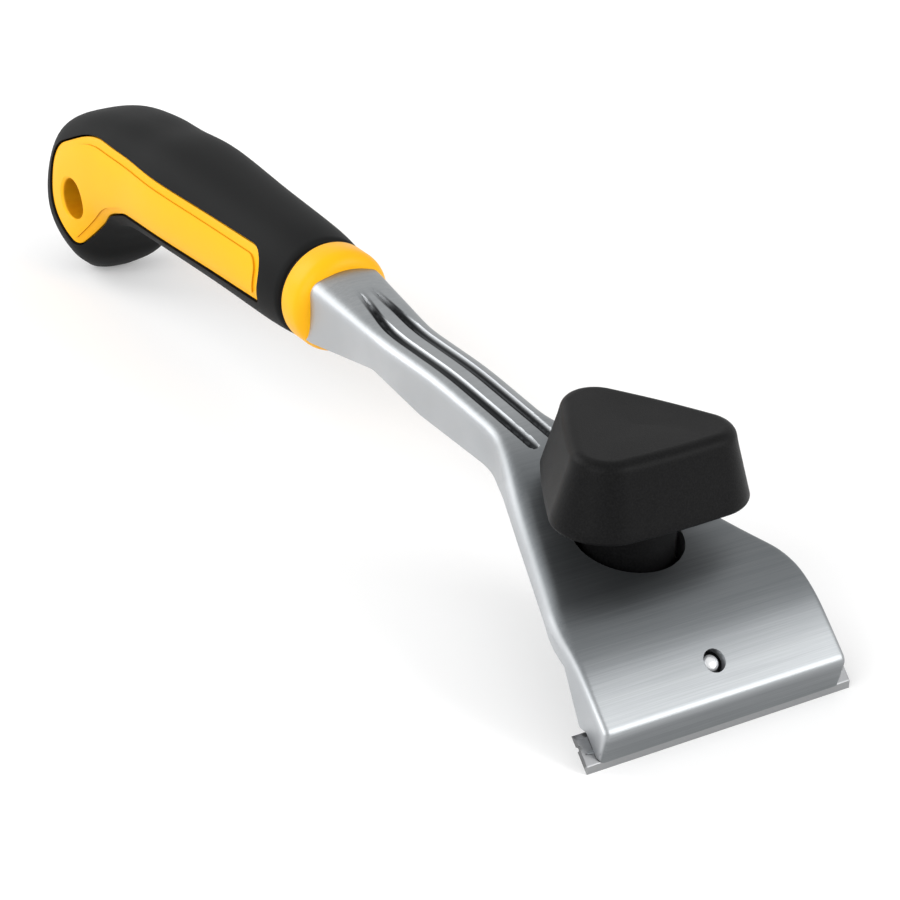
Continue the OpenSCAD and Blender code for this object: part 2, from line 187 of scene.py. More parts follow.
world = bpy.data.worlds.new("room")
bpy.context.scene.world = world
world.use_nodes = True
air = world.node_tree
background = air.nodes["Background"]
path = air.nodes.new("ShaderNodeLightPath")
seen_by_eye = air.nodes.new("ShaderNodeMath")
seen_by_eye.operation = "ADD"
air.links.new(path.outputs["Is Camera Ray"], seen_by_eye.inputs[0])
air.links.new(path.outputs["Is Glossy Ray"], seen_by_eye.inputs[1])
seen_through = air.nodes.new("ShaderNodeMath")
seen_through.operation = "ADD"
air.links.new(seen_by_eye.outputs[0], seen_through.inputs[0])
air.links.new(path.outputs["Is Transmission Ray"], seen_through.inputs[1])
strength = air.nodes.new("ShaderNodeMapRange")
strength.inputs["To Min"].default_value = 0.62
strength.inputs["To Max"].default_value = 1.0
air.links.new(seen_through.outputs[0], strength.inputs["Value"])
air.links.new(strength.outputs[0], background.inputs["Strength"])
background.inputs["Color"].default_value = (1, 1, 1, 1)


def lamp(name, at, aim, size, power):
    light = bpy.data.lights.new(name, "AREA")
    light.shape = "DISK"
    light.size = size
    light.energy = power
    thing = bpy.data.objects.new(name, light)
    bpy.context.scene.collection.objects.link(thing)
    look = (Vector(aim) - Vector(at)).to_track_quat("-Z", "Y")
    thing.matrix_world = Matrix.Translation(at) @ look.to_matrix().to_4x4()


lamp("key_lamp", at=(1.32, 0.82, 0.78), aim=(0.08, 0, 0), size=1.0, power=13)
lamp("left_lamp", at=(0.5, -1.25, 0.75), aim=(0, 0, 0.02), size=1.2, power=11.5)
lamp("rear_lamp", at=(-0.85, -0.55, 0.62), aim=(0.02, 0, 0.03), size=0.85, power=6)


# The shank: one pressing of 2 mm sheet steel with folded side flanges, two deep grooves along the neck,
# a drawn seat for the knob and a small round window above the lip. It is plated and brushed satin.
LIP_REACH = 2.0
HEAD_HALF = 29.8
NECK_HALF = 7.5
SHEET = 1.8
KNOB_X = -34.4
OPENING_R = 11.7
SEAT_Z = 19.4
GRIP_Z = 34.8
COLLAR_X = -146.0
TOP_LINE = [(0.2, 1.64), (2, 8.4), (-13.4, 23.4), (-47, 29.9), (-62, 35.2), (-97, 38.3), (-122, 38.35),
            (-146, 43.8), (-154, 43.8)]
TOP_RADII = [0, 2.4, 32, 80, 40, 150, 60, 40, 0]
SIDE_LINE = [(5, 29.8), (-17.5, 29.8), (-73.5, 7.5), (-122, 7.5), (-146, 9.5), (-160, 9.5)]
SIDE_RADII = [0, 25, 22, 60, 30, 0]
JAW_FRONT = [(-1.9, 3.76), (-4.46, 6.3), (-6.86, 6.3), (-12.9, 16.8), (-23.4, 20.2)]
FLANGE_LINE = JAW_FRONT + [(-47, 23.9), (-62, 26.5), (-102, 27.5), (-122, 30.2), (-146, 27.4), (-160, 27.4)]
GROOVE_Y = 2.95
GROOVE_HALF = 1.4
GROOVE_DEPTH = 1.7


def arc(before, at, after, radius, steps=12):
    """Points of the round of that radius at a line's corner."""
    a = (Vector(before) - Vector(at)).normalized()
    b = (Vector(after) - Vector(at)).normalized()
    half = a.angle(b) / 2
    middle = Vector(at) + (a + b).normalized() * radius / math.sin(half)
    first = Vector(at) + a * radius / math.tan(half) - middle
    last = Vector(at) + b * radius / math.tan(half) - middle
    sweep = last.angle_signed(first)
    start = math.atan2(first.y, first.x)
    points = []
    for i in range(steps + 1):
        turn = start + sweep * i / steps
        points.append(middle + radius * Vector((math.cos(turn), math.sin(turn))))
    return points


def rounded(line, radii):
    points = [Vector(line[0])]
    for i in range(1, len(line) - 1):
        points += arc(line[i - 1], line[i], line[i + 1], radii[i])
    return points + [Vector(line[-1])]


def even(line, step):
    """The same line with points a step apart."""
    walked = [0.0]
    for a, b in zip(line, line[1:]):
        walked.append(walked[-1] + (b - a).length)
    count = max(2, round(walked[-1] / step))
    points, i = [], 0
    for k in range(count + 1):
        goal = walked[-1] * k / count
        while i < len(line) - 2 and walked[i + 1] < goal:
            i += 1
        share = (goal - walked[i]) / max(1e-9, walked[i + 1] - walked[i])
        points.append(line[i].lerp(line[i + 1], min(1, share)))
    return points


def read(line, x):
    """The line's second value at x, for a line that runs towards lower x."""
    for a, b in zip(line, line[1:]):
        if b[0] <= x:
            share = 0 if a[0] == b[0] else (a[0] - x) / (a[0] - b[0])
            return a[1] + (b[1] - a[1]) * max(0, share)
    return line[-1][1]


def soft(x, start, end):
    share = min(1, max(0, (x - start) / (end - start)))
    return share * share * (3 - 2 * share)


side_points = rounded(SIDE_LINE, SIDE_RADII)
top_points = even(rounded(TOP_LINE, TOP_RADII), 0.6)


def jaw(x):
    """The lowest that the sheet may reach at x, where it rests over the blade."""
    return 1.84 - x if x > -4.4 else 0


def groove(x, y):
    """How deep the pressed grooves are at a point of the web."""
    half = GROOVE_HALF
    if x > -65:
        half = math.sqrt(max(0, GROOVE_HALF ** 2 - (x + 65) ** 2))
    run_out = soft(-x, 121, 141)
    centre = GROOVE_Y - 1.3 * run_out
    half *= 1 - run_out
    if half < 0.05:
        return 0
    away = abs(abs(y) - centre) / half
    return GROOVE_DEPTH * (1 - run_out) * (1 - soft(away, 0.35, 1.12))


FLANGE_STEPS = 6
BEND_STEPS = 7
WEB_STEPS = 48


def section(i):
    """The points across the sheet at one place along its top line."""
    at = top_points[i]
    ahead = top_points[max(0, i - 1)]
    behind = top_points[min(len(top_points) - 1, i + 1)]
    along = (behind - ahead).normalized()
    out = Vector((along.y, -along.x))
    half = read(side_points, at.x)
    bend = 1.4 + 2.2 * soft(-at.x, 0, 30) - 0.9 * soft(-at.x, 55, 75) + 1.2 * soft(-at.x, 122, 146)
    front_rows = next(k for k, p in enumerate(top_points) if p.x < -23.4)
    if i < front_rows:
        low = even([Vector(p) for p in JAW_FRONT], 0.05)
        low_at = low[min(len(low) - 1, round((len(low) - 1) * (i / front_rows) ** 1.15))]
    else:
        low_at = Vector((at.x, read(FLANGE_LINE, at.x)))
    tilt = math.radians(22) * soft(-at.x, 122, 146)
    web_half = half - bend * (1 - math.sin(tilt))
    arch = web_half * math.tan(tilt) / 2
    foot = at - out * (arch + bend * math.cos(tilt))
    right = []
    for k in range(FLANGE_STEPS):
        point = Vector(low_at).lerp(foot, k / FLANGE_STEPS)
        right.append((point.x, read(side_points, point.x), point.y))
    for k in range(BEND_STEPS + 1):
        turn = (math.pi / 2 - tilt) * k / BEND_STEPS
        point = foot + out * bend * math.sin(turn)
        right.append((point.x, half - bend + bend * math.cos(turn), point.y))
    web = []
    for k in range(1, WEB_STEPS):
        y = web_half * (1 - 2 * k / WEB_STEPS)
        point = at - out * (groove(at.x, y) + arch * (y / web_half) ** 2)
        web.append((point.x, y, point.y))
    left = [(x, -y, z) for x, y, z in reversed(right)]
    return [(x, y, max(z, jaw(x))) for x, y, z in right + web + left]


def new_piece(name, bm, finish, smooth=True):
    """Makes an object of a bmesh in millimetres from the cutting edge."""
    bmesh.ops.scale(bm, vec=(0.001, 0.001, 0.001), verts=bm.verts)
    bmesh.ops.translate(bm, vec=mm(EDGE_X, 0, 0), verts=bm.verts)
    mesh = bpy.data.meshes.new(name)
    bm.to_mesh(mesh)
    bm.free()
    mesh.materials.append(finish)
    for face in mesh.polygons:
        face.use_smooth = smooth
    piece = bpy.data.objects.new(name, mesh)
    bpy.context.scene.collection.objects.link(piece)
    return piece


def settle(piece):
    """Turns a piece's modifiers into mesh."""
    depsgraph = bpy.context.evaluated_depsgraph_get()
    depsgraph.update()
    done = bpy.data.meshes.new_from_object(piece.evaluated_get(depsgraph))
    old = piece.data
    piece.modifiers.clear()
    piece.data = done
    bpy.data.meshes.remove(old)


def cut(piece, tool, operation="DIFFERENCE"):
    """Cuts a piece with a tool, and takes the tool away."""
    step = piece.modifiers.new("cut", "BOOLEAN")
    step.operation = operation
    step.solver = "EXACT"
    step.object = tool
    settle(piece)
    bpy.data.objects.remove(tool)


def crease(piece, degrees=35):
    """Smooth faces, with the edges sharper than the angle kept crisp."""
    bm = bmesh.new()
    bm.from_mesh(piece.data)
    for edge in bm.edges:
        edge.smooth = not (edge.is_manifold and edge.calc_face_angle(0) > math.radians(degrees))
    bm.to_mesh(piece.data)
    bm.free()
    for face in piece.data.polygons:
        face.use_smooth = True


def rod(radius, foot, top, segments=96):
    """A round bar to cut with, between two points."""
    bm = bmesh.new()
    span = Vector(top) - Vector(foot)
    bmesh.ops.create_cone(bm, cap_ends=True, segments=segments, radius1=radius, radius2=radius,
                          depth=span.length)
    look = span.to_track_quat("Z", "Y").to_matrix().to_4x4()
    middle = Matrix.Translation((Vector(foot) + Vector(top)) / 2)
    bmesh.ops.transform(bm, matrix=middle @ look, verts=bm.verts)
    return bm


def turned(profile, steps=96):
    """A bmesh of a profile of (radius, height) turned about the upright axis."""
    bm = bmesh.new()
    verts = [bm.verts.new((r, 0, z)) for r, z in profile]
    edges = [bm.edges.new(pair) for pair in zip(verts, verts[1:])]
    bmesh.ops.spin(bm, geom=verts + edges, axis=(0, 0, 1), cent=(0, 0, 0), angle=math.tau,
                   steps=steps, use_merge=True)
    bmesh.ops.remove_doubles(bm, verts=bm.verts, dist=0.001)
    bmesh.ops.recalc_face_normals(bm, faces=bm.faces)
    return bm


def add_in(bm, other):
    """Puts another bmesh into this one."""
    held = bpy.data.meshes.new("held")
    other.to_mesh(held)
    other.free()
    bm.from_mesh(held)
    bpy.data.meshes.remove(held)


steel = Finish("satin_steel", Metallic=1.0, Anisotropic=0.3)
lines = steel.noise(1.0, (5200, 45, 5200), 3.0, 0.6)
broad = steel.noise(1.0, (900, 14, 900), 2.0)
cloud = steel.noise(38.0, (1, 1, 1), 3.0)
back = EDGE_X - steel.axis("X") * 1000
side = steel.math_abs(steel.axis("Y") * 1000)
# Painted shade: the floors of the two grooves are mixed to near black, standing in for the shade down in the
# grooves.
run_out = back.above(121, 141)
from_middle = steel.math_abs(side - GROOVE_Y + run_out * 1.3)
painted_groove_shade = (1 - from_middle.above(0.9, 1.45)) * back.above(63.2, 65.2) * (1 - run_out.above(0.4, 1.0))
# Painted light: faces that turn to the sides, the flanges, get a lighter steel tone than the web, standing in for
# the light that falls on them. The cloud noise in it is random tone.
facing = steel.math_abs(steel.node("ShaderNodeSeparateXYZ", {}, {"Vector": steel.normal()}, "Y"))
lit_flank_mask = facing.above(0.55, 0.95)
tone = lines * 0.5 + broad * 0.3 + cloud * 0.2
# Painted light and shade: the steel is darker over the head's top round the knob and lighter on the lower slope,
# the lip facet and the neck, standing in for the lamps' highlights and the knob's shade. The brushed noise in both
# tones is the steel's own grain.
height = steel.axis("Z") * 1000
painted_light_mask = back.above(12, -3) * (0.4 + height.above(6.2, 9.0) * 0.9) + back.above(56, 84)
shaded_steel_tone = steel.mix(tone.above(0.3, 0.72), (0.135, 0.145, 0.152, 1), (0.175, 0.185, 0.192, 1))
bright = steel.mix(tone.above(0.3, 0.72), (0.27, 0.283, 0.292, 1), (0.34, 0.353, 0.362, 1))
brushed_with_painted_light = steel.mix(painted_light_mask, shaded_steel_tone, bright)
painted_lit_flank_tone = steel.mix(cloud.above(0.3, 0.7), (0.44, 0.455, 0.47, 1), (0.52, 0.535, 0.55, 1))
plated_with_painted_light = steel.mix(lit_flank_mask, brushed_with_painted_light, painted_lit_flank_tone)
# The base colour lays the painted groove shade over the steel's painted light and shade.
steel.feed(Base_Color=steel.mix(painted_groove_shade * 0.95, plated_with_painted_light, (0.008, 0.009, 0.010, 1)),
           Roughness=0.46 + lines * 0.04 + cloud * 0.04 - painted_light_mask * 0.08,
           Normal=steel.bump(lines * 0.7 + broad * 0.4, 0.00002, 0.22))

columns = len(section(0))
bm = bmesh.new()
bmesh.ops.create_grid(bm, x_segments=len(top_points) - 1, y_segments=columns - 1, size=1)
bm.verts.ensure_lookup_table()
rows_of = [section(i) for i in range(len(top_points))]
for vert in bm.verts:
    i = round((vert.co.x + 1) / 2 * (len(top_points) - 1))
    k = round((vert.co.y + 1) / 2 * (columns - 1))
    vert.co = rows_of[i][k]
bmesh.ops.recalc_face_normals(bm, faces=bm.faces)
middle = min(bm.faces, key=lambda f: (f.calc_center_median() - Vector((-90, 0, 38))).length)
if middle.normal.z < 0:
    bmesh.ops.reverse_faces(bm, faces=bm.faces)
shank = new_piece("shank_pressing", bm, steel.material)
thick = shank.modifiers.new("thick", "SOLIDIFY")
thick.thickness = SHEET / 1000
thick.offset = -1
thick.use_even_offset = False
settle(shank)
cut(shank, new_piece("opening_tool", rod(OPENING_R, (KNOB_X, 0, 10), (KNOB_X, 0, 60)), steel.material))
window = Vector((-3.8, 0, 14.05))
slope = Vector((0.70, 0, 0.72))
cut(shank, new_piece("window_tool", rod(2.5, window - slope * 5, window + slope * 5, 48), steel.material))

for vert in shank.data.vertices:
    x = vert.co.x * 1000 - EDGE_X
    vert.co.z = max(vert.co.z, jaw(x) / 1000)

seat = turned([(OPENING_R + 0.02, 30), (OPENING_R, SEAT_Z + 1), (OPENING_R - 1, SEAT_Z), (4.4, SEAT_Z),
               (4.4, SEAT_Z - 1.8), (OPENING_R - 0.4, SEAT_Z - 1.8), (OPENING_R + 1.8, SEAT_Z + 0.4),
               (OPENING_R + 1.82, 30), (OPENING_R + 0.02, 30)], 96)
bmesh.ops.translate(seat, vec=(KNOB_X, 0, 0), verts=seat.verts)
for vert in seat.verts:
    if vert.co.z > 25:
        vert.co.z = read([(p.x, p.y) for p in top_points], vert.co.x) - 0.5
seat_piece = new_piece("seat", seat, steel.material)
bm = bmesh.new()
bm.from_mesh(shank.data)
bm.from_mesh(seat_piece.data)
bm.to_mesh(shank.data)
bm.free()
bpy.data.objects.remove(seat_piece)
crease(shank)
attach(shank, "frame")
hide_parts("shank")


# The blade: a flat strip of ground steel with a cutting edge along both sides. It lies in the jaw under the
# lip and stands out at both ends, and each end has a small notch.
BLADE_W = 65
BLADE_DEPTH = 8
BLADE_T = 1.2
UP = Vector((math.sqrt(0.5), 0, math.sqrt(0.5)))
BACK = Vector((-math.sqrt(0.5), 0, math.sqrt(0.5)))

ground = Finish("ground_steel", Metallic=1.0)
scratch = ground.noise(1.0, (2600, 60, 2600), 3.0, 0.6)
stain = ground.noise(120.0, (1, 1, 1), 3.0)
up_face = ground.axis("X") * 0.7071 + ground.axis("Z") * 0.7071
from_edge = (ground.axis("Z") - ground.axis("X")) * 0.7071 + EDGE_X * 0.0007071
worn = ground.mix(scratch * 0.6 + stain * 0.4, (0.13, 0.133, 0.137, 1), (0.21, 0.213, 0.217, 1))
keen = 1 - from_edge.above(0.0012, 0.0016)
ground.feed(Base_Color=ground.mix(keen * 0.7, worn, (0.38, 0.385, 0.39, 1)),
            Roughness=0.30 + scratch * 0.16, Normal=ground.bump(scratch, 0.00001, 0.4))

bm = bmesh.new()
bevel = BLADE_T
corners = [Vector((0, 0, 0)), BACK * BLADE_DEPTH, BACK * (BLADE_DEPTH - bevel) + UP * BLADE_T,
           BACK * bevel + UP * BLADE_T]
end = bm.faces.new([bm.verts.new(c + Vector((0, -BLADE_W / 2, 0))) for c in corners])
drawn = bmesh.ops.extrude_face_region(bm, geom=[end])
moved = [g for g in drawn["geom"] if isinstance(g, bmesh.types.BMVert)]
bmesh.ops.translate(bm, vec=(0, BLADE_W, 0), verts=moved)
bmesh.ops.recalc_face_normals(bm, faces=bm.faces)
bmesh.ops.bevel(bm, geom=[e for e in bm.edges if abs((e.verts[0].co - e.verts[1].co).y) < 1],
                offset=0.12, segments=2, profile=0.5, affect="EDGES", material=-1)
blade = new_piece("blade_strip", bm, ground.material)
for side in (-1, 1):
    notch = BACK * 5.2 + Vector((0, side * BLADE_W / 2, 0))
    cut(blade, new_piece("notch_tool", rod(0.5, notch - UP * 3, notch + UP * 3, 24), ground.material))
crease(blade, 20)
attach(blade, "clamp")
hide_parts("blade")


# The clamp under the head: a bent plate, its nut, the bolt, the washer and the pin that guides the plate.
# They are zinc plated steel, stamped or turned, and only the pin's bright end shows in the window.
zinc = Finish("zinc_plate", Metallic=1.0)
spangle = zinc.node("ShaderNodeTexVoronoi", {}, {"Vector": zinc.place(), "Scale": 900.0}, "Distance")
haze = zinc.noise(160.0, (1, 1, 1), 4.0)
zinc.feed(Base_Color=zinc.mix(haze.above(0.35, 0.68), (0.24, 0.25, 0.26, 1), (0.36, 0.37, 0.38, 1)),
          Roughness=0.34 + haze * 0.18 + spangle * 0.1, Normal=zinc.bump(haze + spangle * 0.4, 0.00003, 0.4))
pin_steel = Finish("bright_pin", Metallic=0.6)
turning = pin_steel.noise(1.0, (900, 900, 9000), 2.0)
pin_steel.feed(Base_Color=pin_steel.mix(turning, (0.66, 0.67, 0.68, 1), (0.86, 0.87, 0.88, 1)),
               Roughness=0.16 + turning * 0.12)
for name in ("clamp_plate", "clamp_nut", "clamp_bolt", "thrust_washer"):
    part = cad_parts[name]
    if not part.material_slots:
        part.data.materials.append(zinc.material)
    for held in part.material_slots:
        held.material = zinc.material

PIN_R = 1.8
PIN_TIP = -0.95
PIN_FOOT = -9.7
SLOPE_TURN = math.radians(44.25)
pin_rows = [(0.01, PIN_TIP), (0.7, PIN_TIP - 0.06), (1.25, PIN_TIP - 0.2), (1.6, PIN_TIP - 0.42),
            (PIN_R, PIN_TIP - 0.8), (PIN_R, PIN_FOOT), (0.01, PIN_FOOT)]
bm = turned(pin_rows, 64)
bmesh.ops.rotate(bm, cent=(0, 0, 0), matrix=Matrix.Rotation(SLOPE_TURN, 3, "Y"), verts=bm.verts)
bmesh.ops.translate(bm, vec=window, verts=bm.verts)
pin = new_piece("guide_pin_turned", bm, pin_steel.material)
crease(pin, 40)
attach(pin, "clamp")
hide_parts("guide_pin")


# The knob: a three-lobed moulding in black plastic with a fine grain, hollow underneath, and with a round
# neck that goes down into the head. The bolt's head is moulded into it.
KNOB_Z = 36.8
KNOB_H = 16
LOBE_AT = 13
LOBE_LOW = 11.0
LOBE_HIGH = 7.6
NECK_R = 9.8
NECK_FOOT = SEAT_Z + 1.05
LOBE_STEPS = 26
SIDE_STEPS = 12
RING = 3 * (LOBE_STEPS + SIDE_STEPS)


def lobes(k, radius, share):
    """Point k of the knob's outline, its lobes of that radius, drawn to the middle by the share."""
    lobe, step = divmod(k, LOBE_STEPS + SIDE_STEPS)
    here = math.radians(180 + 120 * lobe)
    after = here + math.radians(120)
    centre = LOBE_AT * Vector((math.cos(here), math.sin(here)))
    if step <= LOBE_STEPS:
        turn = here + math.radians(120) * (step / LOBE_STEPS - 0.5)
        point = centre + radius * Vector((math.cos(turn), math.sin(turn)))
    else:
        turn = here + math.radians(60)
        out = Vector((math.cos(turn), math.sin(turn)))
        next_centre = LOBE_AT * Vector((math.cos(after), math.sin(after)))
        way = (step - LOBE_STEPS) / SIDE_STEPS
        swell = 0.35 * math.sin(math.pi * way)
        point = centre.lerp(next_centre, way) + (radius + swell) * out
    return point * share


rows = [(6.5, 47.8, 0.01), (6.5, 48.6, 0.55), (7.2, 49, 0.9), (8.0, 47.5, 1), (8.4, 38.2, 1), (8.7, 37.2, 1),
        (9.2, 36.82, 1), (9.9, 36.8, 1)]
for i in range(6):
    turn = math.radians(15 + 15 * i)
    rows.append((10.0 + 1.0 * math.sin(turn), 37.8 - 1.0 * math.cos(turn), 1))
side_top = KNOB_Z + KNOB_H - 2.6
for i in range(1, 9):
    way = i / 9
    rows.append((LOBE_LOW + (LOBE_HIGH - LOBE_LOW) * way, 37.8 + (side_top - 37.8) * way, 1))
for i in range(9):
    turn = math.radians(12 + 9.75 * i)
    rows.append((LOBE_HIGH - 2.6 * (1 - math.cos(turn)), side_top + 2.6 * math.sin(turn), 1))
for share in (0.97, 0.9, 0.8, 0.65, 0.5, 0.35, 0.2, 0.1, 0.01):
    rows.append((LOBE_HIGH - 2.6, KNOB_Z + KNOB_H - 0.22 * (1 - share), share))

bm = bmesh.new()
ring = bmesh.ops.create_circle(bm, segments=RING, radius=1)["verts"]


def lay_ring(verts, row):
    radius, z, share = row
    for k, vert in enumerate(verts):
        flat = lobes(k, radius, share)
        vert.co = (flat.x, flat.y, z)


lay_ring(ring, rows[0])
bm.faces.new(ring)
edges = [bm.edges.get((ring[k], ring[(k + 1) % RING])) for k in range(RING)]
for row in rows[1:]:
    grown = bmesh.ops.extrude_edge_only(bm, edges=edges)["geom"]
    edges = [g for g in grown if isinstance(g, bmesh.types.BMEdge)]
    fresh = [g for g in grown if isinstance(g, bmesh.types.BMVert)]
    by_old = {}
    for vert in fresh:
        for edge in vert.link_edges:
            other = edge.other_vert(vert)
            if other in ring:
                by_old[ring.index(other)] = vert
    ring = [by_old[k] for k in range(RING)]
    edges = [bm.edges.get((ring[k], ring[(k + 1) % RING])) for k in range(RING)]
    lay_ring(ring, row)
bm.faces.new(ring)
neck = turned([(0.01, 48), (NECK_R, 48), (NECK_R, NECK_FOOT + 0.8), (NECK_R - 0.25, NECK_FOOT + 0.25),
               (NECK_R - 0.8, NECK_FOOT), (0.01, NECK_FOOT)], 72)
add_in(bm, neck)
bmesh.ops.translate(bm, vec=(KNOB_X, 0, 0), verts=bm.verts)
bmesh.ops.recalc_face_normals(bm, faces=bm.faces)

moulded = Finish("grained_black", Specular_IOR_Level=0.08)
grain = moulded.noise(2600.0, (1, 1, 1), 3.0, 0.6)
fine = moulded.noise(7000.0, (1, 1, 1), 2.0)
rubbed = moulded.noise(70.0, (1, 1, 1), 3.0)
moulded.feed(Base_Color=moulded.mix(grain.above(0.3, 0.75), (0.003, 0.003, 0.0032, 1), (0.0075, 0.0075, 0.0078, 1)),
             Roughness=0.34 + rubbed * 0.12 + grain * 0.1,
             Normal=moulded.bump(grain + fine * 0.5, 0.00006, 0.6))
knob = new_piece("knob_moulding", bm, moulded.material)
crease(knob, 40)
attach(knob, "knob")
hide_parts("knob")


# The handle's core: stiff yellow plastic, with the collar that the steel enters and the two side panels, each
# with a low step round its border. The hanging hole runs through both panels.
GRIP_R = 12.5
SWELL_R = 13.7
HOOK_R = 14.8
COLLAR_BACK = -156.0
COLLAR_R = 12.4
COLLAR_ROUND = 3.6
TAIL = -281.5
BAR = 281.5 - 35.5 - 156.0


def bar_row(share, lift, radius, square):
    x = COLLAR_BACK - share * BAR
    return ((x, GRIP_Z + lift + radius), (x, GRIP_Z + lift - radius), radius, square)


handle_rows = [
    bar_row(0.002, 0, GRIP_R - 1.5, 2.0),
    bar_row(0.004, 0, GRIP_R - 0.7, 2.0),
    bar_row(0.009, 0, GRIP_R - 0.25, 2.0),
    bar_row(0.016, 0, GRIP_R, 2.0),
    bar_row(0.12, 0.3, 0.5 * (GRIP_R + SWELL_R), 2.1),
    bar_row(0.38, 0.8, SWELL_R - 0.1, 2.2),
    bar_row(0.66, 1.2, SWELL_R + 0.7, 2.3),
    bar_row(0.84, 0.3, SWELL_R + 0.4, 2.4),
    ((TAIL + 35.5, GRIP_Z + 13.2), (TAIL + 43.5, GRIP_Z - 14.2), HOOK_R - 0.5, 2.6),
    ((TAIL + 19.8, 44.9), (TAIL + 36.6, 18.8), HOOK_R - 0.1, 2.8),
    ((TAIL + 7.4, 39), (TAIL + 32.2, 14.6), HOOK_R, 3.0),
    ((TAIL + 1.1, 28.2), (TAIL + 29.6, 10.8), HOOK_R, 3.0),
    ((TAIL + 0.8, 17.8), (TAIL + 27.8, 7.2), HOOK_R - 0.4, 3.0),
    ((TAIL + 4.6, 8.9), (TAIL + 24.8, 4.1), HOOK_R - 3, 2.8),
    ((TAIL + 10.4, 2.3), (TAIL + 20.4, 1.3), HOOK_R / 2, 2.4),
]
HOOK_TIP = (TAIL + 15, 0.02)
RING_POINTS = 96
ROW_STEPS = 7


def smooth_value(a, b, c, d, t):
    return (2 * b + (c - a) * t + (2 * a - 5 * b + 4 * c - d) * t * t + (3 * b - 3 * c + d - a) * t ** 3) / 2


def between(i, t):
    """The handle's row a share t of the way from row i to the next."""
    picked = [handle_rows[min(max(i + k, 0), len(handle_rows) - 1)] for k in (-1, 0, 1, 2)]
    flat = [list(p[0]) + list(p[1]) + [p[2], p[3]] for p in picked]
    v = [smooth_value(flat[0][n], flat[1][n], flat[2][n], flat[3][n], t) for n in range(6)]
    return Vector(v[0:2]), Vector(v[2:4]), v[4], v[5]


def power(value, exponent):
    return math.copysign(abs(value) ** exponent, value)


def handle_form(inset):
    """The handle's closed outer form, drawn in by the inset."""
    lines = []
    for i in range(len(handle_rows) - 1):
        steps = 1 if i < 3 else ROW_STEPS
        lines += [between(i, s / steps) for s in range(steps)]
    lines.append(between(len(handle_rows) - 2, 1))
    bm = bmesh.new()
    bmesh.ops.create_grid(bm, x_segments=len(lines) + 1, y_segments=RING_POINTS, size=1)
    first = (lines[0][0] + lines[0][1]) / 2
    for vert in bm.verts:
        i = round((vert.co.x + 1) / 2 * (len(lines) + 1)) - 1
        turn = math.tau * round((vert.co.y + 1) / 2 * RING_POINTS) / RING_POINTS
        if i < 0:
            vert.co = (first.x, 0, first.y)
        elif i == len(lines):
            vert.co = (HOOK_TIP[0], 0, HOOK_TIP[1] + inset)
        else:
            upper, lower, half, square = lines[i]
            reach = (upper - lower) / 2
            share = 1 - inset / reach.length
            up = (upper + lower) / 2 + reach * share * power(math.sin(turn), 2 / square)
            vert.co = (up.x, (half - inset) * power(math.cos(turn), 2 / square), up.y)
    bmesh.ops.remove_doubles(bm, verts=bm.verts, dist=0.002)
    bmesh.ops.recalc_face_normals(bm, faces=bm.faces)
    return bm


PANEL_X = COLLAR_BACK - 9.8
PANEL_LOOP = [(PANEL_X + 1.2, GRIP_Z + 8), (PANEL_X - 0.2, GRIP_Z - 4.2),
              ((PANEL_X + TAIL + 35.5) / 2, GRIP_Z - 5.8), (TAIL + 48, GRIP_Z - 6.6), (TAIL + 37.5, 24.3),
              (TAIL + 22.7, 10.2), (TAIL + 9.8, 17), (TAIL + 10.1, 33.8), (TAIL + 29.6, GRIP_Z + 8.2)]
PANEL_RADII = [5.5, 1, 150, 8, 25, 3.5, 11, 10, 30]


def panel_block(grow):
    """A block through the handle with the panel's outline, grown or drawn in."""
    points = [Vector(at) for at in PANEL_LOOP]
    count = len(points)
    corners = []
    radii = []
    for i, at in enumerate(points):
        come = (at - points[i - 1]).normalized()
        leave = (points[(i + 1) % count] - at).normalized()
        out = Vector((-come.y - leave.y, come.x + leave.x))
        corners.append(at + out * grow / (1 + come.dot(leave)))
        hollow = 1 if come.cross(leave) > 0 else -1
        radii.append(max(0.4, PANEL_RADII[i] - hollow * grow))
    edge = []
    for i in range(count):
        edge += arc(corners[i - 1], corners[i], corners[(i + 1) % count], radii[i], 10)
    bm = bmesh.new()
    face = bm.faces.new([bm.verts.new((p.x, -20, p.y)) for p in edge])
    drawn = bmesh.ops.extrude_face_region(bm, geom=[face])
    moved = [g for g in drawn["geom"] if isinstance(g, bmesh.types.BMVert)]
    bmesh.ops.translate(bm, vec=(0, 40, 0), verts=moved)
    bmesh.ops.recalc_face_normals(bm, faces=bm.faces)
    return bm


def hole_tool(name):
    rows = [(0.01, -22), (6.6, -22), (6.6, -15.2)]
    for turn in range(0, 91, 15):
        angle = math.radians(turn)
        rows.append((6.1 - 0.8 * math.sin(angle), -14.7 + 0.8 * (1 - math.cos(angle))))
    rows += [(r, -z) for r, z in reversed(rows)]
    bm = turned(rows, 64)
    bmesh.ops.rotate(bm, cent=(0, 0, 0), matrix=Matrix.Rotation(math.pi / 2, 3, "X"), verts=bm.verts)
    bmesh.ops.translate(bm, vec=(TAIL + 22.6, 0, 23.4), verts=bm.verts)
    return new_piece(name, bm, yellow.material)


yellow = Finish("yellow_moulding", Specular_IOR_Level=0.16)
mottle = yellow.noise(60.0, (1, 1, 1), 3.0)
pores = yellow.noise(3800.0, (1, 1, 1), 2.0)
yellow.feed(Base_Color=yellow.mix(mottle, (0.94, 0.435, 0.0045, 1), (0.98, 0.48, 0.0063, 1)),
            Roughness=0.34 + mottle * 0.1 + pores * 0.05, Normal=yellow.bump(pores, 0.00003, 0.35))

# Painted shade: the walls of the low step round each panel get a darker orange, standing in for the shade in the
# step.
step_wall_shade = Finish("painted_shade_step_wall", Specular_IOR_Level=0.1, Roughness=0.6)
depth = step_wall_shade.noise(200.0, (1, 1, 1), 2.0)
step_wall_shade.feed(Base_Color=step_wall_shade.mix(depth, (0.72, 0.29, 0.003, 1), (0.80, 0.34, 0.004, 1)))

